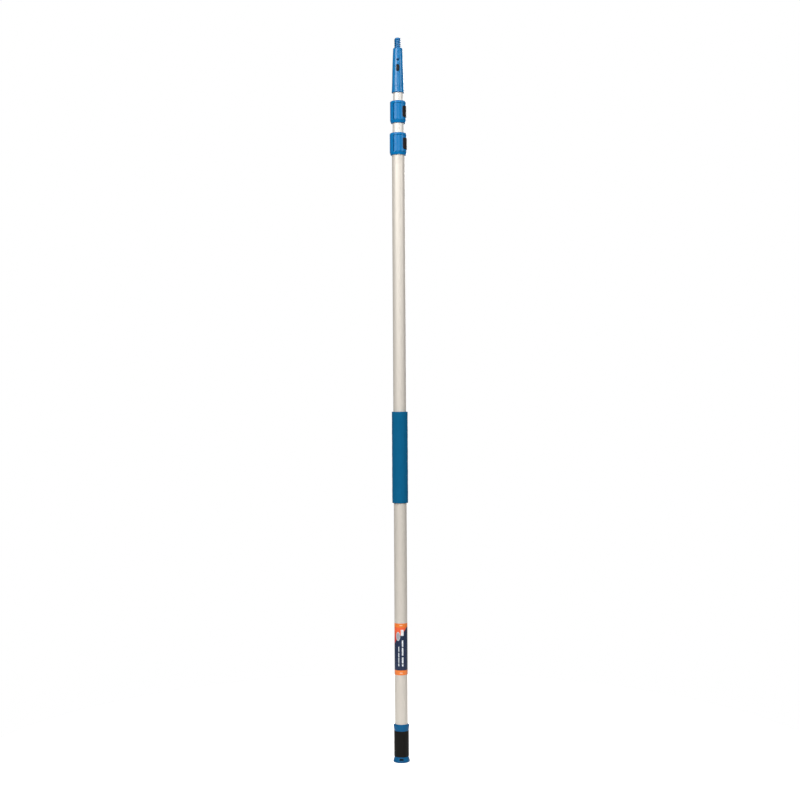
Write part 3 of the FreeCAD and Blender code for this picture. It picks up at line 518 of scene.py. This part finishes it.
def threaded_tip():
    """The right-hand thread, turned from one trapezoid's outline and trimmed to a domed nose."""
    turns, gap, start = 8, 1.9, 2003.0
    flank = (THREAD_CREST - THREAD_ROOT) * math.tan(math.radians(14.5))
    steps = [(THREAD_ROOT, 0), (THREAD_ROOT, gap), (THREAD_CREST, gap + flank),
             (THREAD_CREST, THREAD_PITCH - flank), (THREAD_ROOT, THREAD_PITCH)]
    bpy.ops.object.select_all(action="DESELECT")
    bpy.ops.mesh.primitive_circle_add(vertices=len(steps), fill_type="NOTHING")
    rod = bpy.context.object
    rod.name = "threaded_tip"
    for vertex, (radius, height) in zip(rod.data.vertices, steps):
        vertex.co = (radius * MM, 0, (start + height) * MM)
    bpy.ops.object.mode_set(mode="EDIT")
    bpy.ops.mesh.select_mode(type="EDGE")
    bpy.ops.mesh.select_all(action="DESELECT")
    shape = bmesh.from_edit_mesh(rod.data)
    for edge in shape.edges:
        if abs(edge.verts[0].co.z - edge.verts[1].co.z) > 0.9 * THREAD_PITCH * MM:
            edge.select = True
    bmesh.update_edit_mesh(rod.data)
    bpy.ops.mesh.delete(type="EDGE")
    bpy.ops.object.mode_set(mode="OBJECT")
    screw = rod.modifiers.new("thread", "SCREW")
    screw.axis, screw.angle, screw.screw_offset, screw.iterations = "Z", 2 * math.pi, THREAD_PITCH * MM, turns
    screw.steps = screw.render_steps = 96
    screw.use_merge_vertices, screw.merge_threshold = True, 1e-6
    only(rod)
    bpy.ops.object.modifier_apply(modifier=screw.name)
    bpy.ops.object.mode_set(mode="EDIT")
    bpy.ops.mesh.select_all(action="SELECT")
    bpy.ops.mesh.remove_doubles(threshold=WELD)
    for level, upper in ((THREAD_FOOT - 4.1, False), (THREAD_TOP + 3.0, True)):
        bpy.ops.mesh.select_all(action="SELECT")
        bpy.ops.mesh.bisect(plane_co=(0, 0, level * MM), plane_no=(0, 0, 1), use_fill=True,
                            clear_inner=not upper, clear_outer=upper)
    bpy.ops.mesh.select_all(action="SELECT")
    bpy.ops.mesh.normals_make_consistent(inside=False)
    bpy.ops.object.mode_set(mode="OBJECT")
    envelope = spun("tip_envelope", [(0, THREAD_FOOT, 0), (THREAD_CREST, THREAD_FOOT, 0),
                                     (THREAD_CREST, THREAD_TOP - 4.0, 1.2), (6.6, THREAD_TOP, 1.2),
                                     (0, THREAD_TOP, 0)], 96)
    trim = rod.modifiers.new("trimmed", "BOOLEAN")
    trim.operation, trim.object, trim.solver = "INTERSECT", envelope, "EXACT"
    only(rod)
    bpy.ops.object.modifier_apply(modifier=trim.name)
    bpy.data.objects.remove(envelope)
    return rod


def cone_body():
    """The cone below its thread, which is a piece of its own."""
    foot, rise = 1885.0, 1.3
    sides = [(17.75, 0.6, 16.7, 20.0), (16.7, 20.0, 15.75, 57.0), (15.75, 57.0, 13.6, 125.0)]
    lines = [(low + step, foot + start, high + step, foot + end) for low, start, high, end in sides
             for step in (0.0, rise)]
    cone = moulded("locking_cone", "locking_cone_moulded", lines, (3.6, foot + 91.0))
    only(cone)
    bpy.ops.object.mode_set(mode="EDIT")
    bpy.ops.mesh.select_all(action="SELECT")
    bpy.ops.mesh.bisect(plane_co=(0, 0, (THREAD_FOOT + 0.02) * MM), plane_no=(0, 0, 1), use_fill=True, clear_outer=True)
    bpy.ops.object.mode_set(mode="OBJECT")
    return cone


fitted(cone_body(), "locking_cone", "cone")
tip = threaded_tip()
only(tip)
bpy.ops.object.shade_smooth_by_angle(angle=math.radians(24))
finished(tip, "cone", BODY_OF["locking_cone"])
fitted(moulded("lock_button", "lock_button_moulded"), "lock_button", "button")

for node, finish in (("end_cap_rivets", "steel"), ("middle_guide", "guide"), ("inner_guide", "guide"),
                     ("cone_rivets", "steel")):
    fitted(moulded(node, f"{node}_finished"), node, finish)

spring = fitted(moulded("button_spring", "button_spring_finished"), "button_spring", "steel")
low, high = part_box("button_spring")
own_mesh(spring)


# --- Stage ----------------------------------------------------------------------------------------


def soft_box(name, place, aim, width, height, watts):
    light = bpy.data.lights.new(name, "AREA")
    light.shape, light.size, light.size_y = "RECTANGLE", width, height
    light.energy = watts
    lamp = bpy.data.objects.new(name, light)
    bpy.context.scene.collection.objects.link(lamp)
    lamp.location = place
    lamp.rotation_mode = "QUATERNION"
    lamp.rotation_quaternion = (Vector(aim) - Vector(place)).to_track_quat("-Z", "Y")


bpy.ops.object.select_all(action="DESELECT")
bpy.ops.mesh.primitive_circle_add(vertices=96, radius=1.25, fill_type="NGON", location=(0, 0, 0))
floor = bpy.context.object
floor.name = "studio_floor"
floor.data.materials.append(floor_finish())

soft_box("key_soft_box", (-1.7, -2.2, 2.7), (0, 0, 1.75), 1.7, 1.3, 62)
soft_box("front_soft_box", (0.4, -2.9, 2.1), (0, 0, 1.55), 1.0, 1.2, 24)
soft_box("right_soft_box", (2.2, -1.3, 2.3), (0, 0, 1.6), 0.8, 1.2, 24)
sky = bpy.data.lights.new("broad_soft_light", "SUN")
sky.energy, sky.angle = 1.1, math.radians(70)
overhead = bpy.data.objects.new("broad_soft_light", sky)
bpy.context.scene.collection.objects.link(overhead)
overhead.rotation_mode = "QUATERNION"
overhead.rotation_quaternion = Vector((0.35, 1.0, -1.1)).to_track_quat("-Z", "Y")
soft_box("back_soft_box", (0.9, 2.8, 2.3), (0, 0, 1.3), 1.6, 1.6, 60)

world = bpy.data.worlds.new("white studio")
bpy.context.scene.world = world
world.use_nodes = True
nodes, links = world.node_tree.nodes, world.node_tree.links
air = nodes["Background"]
air.inputs["Color"].default_value = (1, 1, 1, 1)
air.inputs["Strength"].default_value = 0.2
paper = nodes.new("ShaderNodeBackground")
paper.inputs["Color"].default_value = (1, 1, 1, 1)
paper.inputs["Strength"].default_value = 1.0
seen = nodes.new("ShaderNodeLightPath")
either = nodes.new("ShaderNodeMixShader")
links.new(seen.outputs["Is Camera Ray"], either.inputs[0])
links.new(air.outputs[0], either.inputs[1])
links.new(paper.outputs[0], either.inputs[2])
links.new(either.outputs[0], nodes["World Output"].inputs["Surface"])

bpy.context.scene.view_settings.view_transform = "Standard"
bpy.context.scene.view_settings.look = "None"

lens = bpy.data.cameras.new("catalogue_camera")
lens.sensor_width, lens.lens = 36.0, 62.7
camera = bpy.data.objects.new("catalogue_camera", lens)
bpy.context.scene.collection.objects.link(camera)
camera.matrix_world = (Matrix.Translation((0.001, -3.93, 1.019)) @ Matrix.Rotation(math.radians(90), 4, "X")
                       @ Matrix.Rotation(math.radians(-0.32), 4, "Z"))
bpy.context.scene.camera = camera
